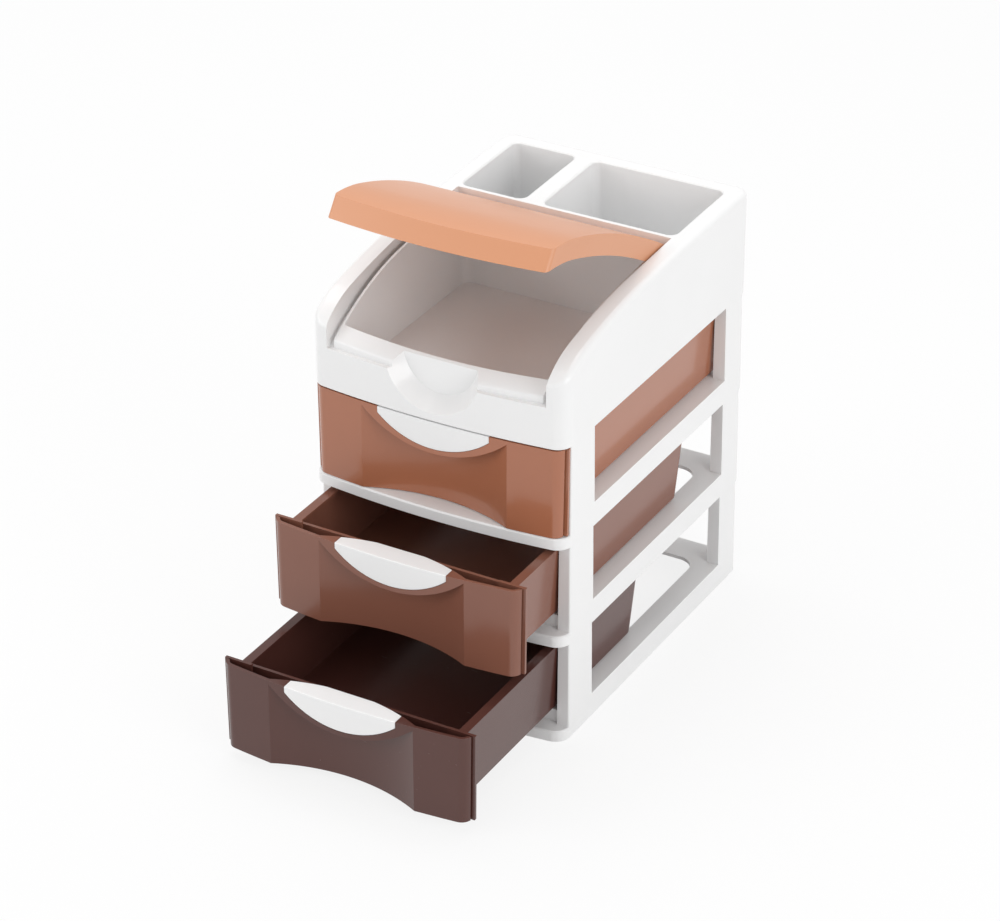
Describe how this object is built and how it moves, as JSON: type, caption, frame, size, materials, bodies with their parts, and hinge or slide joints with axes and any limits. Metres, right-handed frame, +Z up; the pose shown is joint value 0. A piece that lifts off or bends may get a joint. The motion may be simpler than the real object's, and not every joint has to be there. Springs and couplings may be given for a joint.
{
  "type": "desk organizer",
  "caption": "Stacked desk organizer with bowed drawers in open tiers under a tray with a hinged lid and open rear cells.",
  "frame": {"origin": "on the table under the middle of the body, at the foot of the lowest tier", "axes": "+Z up, -Y towards the drawer fronts, +X to the right as seen from the front"},
  "size_m": [0.175, 0.3573, 0.3295],
  "materials": {
    "white_shell": "gloss",
    "lid_copper": "gloss",
    "drawer_copper": "gloss",
    "drawer_mid": "gloss",
    "drawer_dark": "gloss"
  },
  "bodies": {
    "body": {"tier_1": "white_shell", "tier_2": "white_shell", "tier_3": "white_shell", "tray": "white_shell"},
    "drawer_1": {"drawer_box_1": "drawer_dark", "drawer_front_1": "drawer_dark", "drawer_handle_1": "white_shell"},
    "drawer_2": {"drawer_box_2": "drawer_mid", "drawer_front_2": "drawer_mid", "drawer_handle_2": "white_shell"},
    "drawer_3": {"drawer_box_3": "drawer_copper", "drawer_front_3": "drawer_copper", "drawer_handle_3": "white_shell"},
    "lid": {"lid": "lid_copper"}
  },
  "joints": [
    {"name": "drawer_1_slide", "type": "slide", "parent": "body", "child": "drawer_1", "axis": [0, -1, 0], "range_m": [-0.1106, 0.0394]},
    {"name": "drawer_2_slide", "type": "slide", "parent": "body", "child": "drawer_2", "axis": [0, -1, 0], "range_m": [-0.051, 0.099]},
    {"name": "drawer_3_slide", "type": "slide", "parent": "body", "child": "drawer_3", "axis": [0, -1, 0], "range_m": [0, 0.15]},
    {"name": "lid_hinge", "type": "hinge", "parent": "body", "child": "lid", "pos_m": [0, 0.0335, 0.2676], "axis": [-1, 0, 0], "range_deg": [-30.6, 50]}
  ]
}
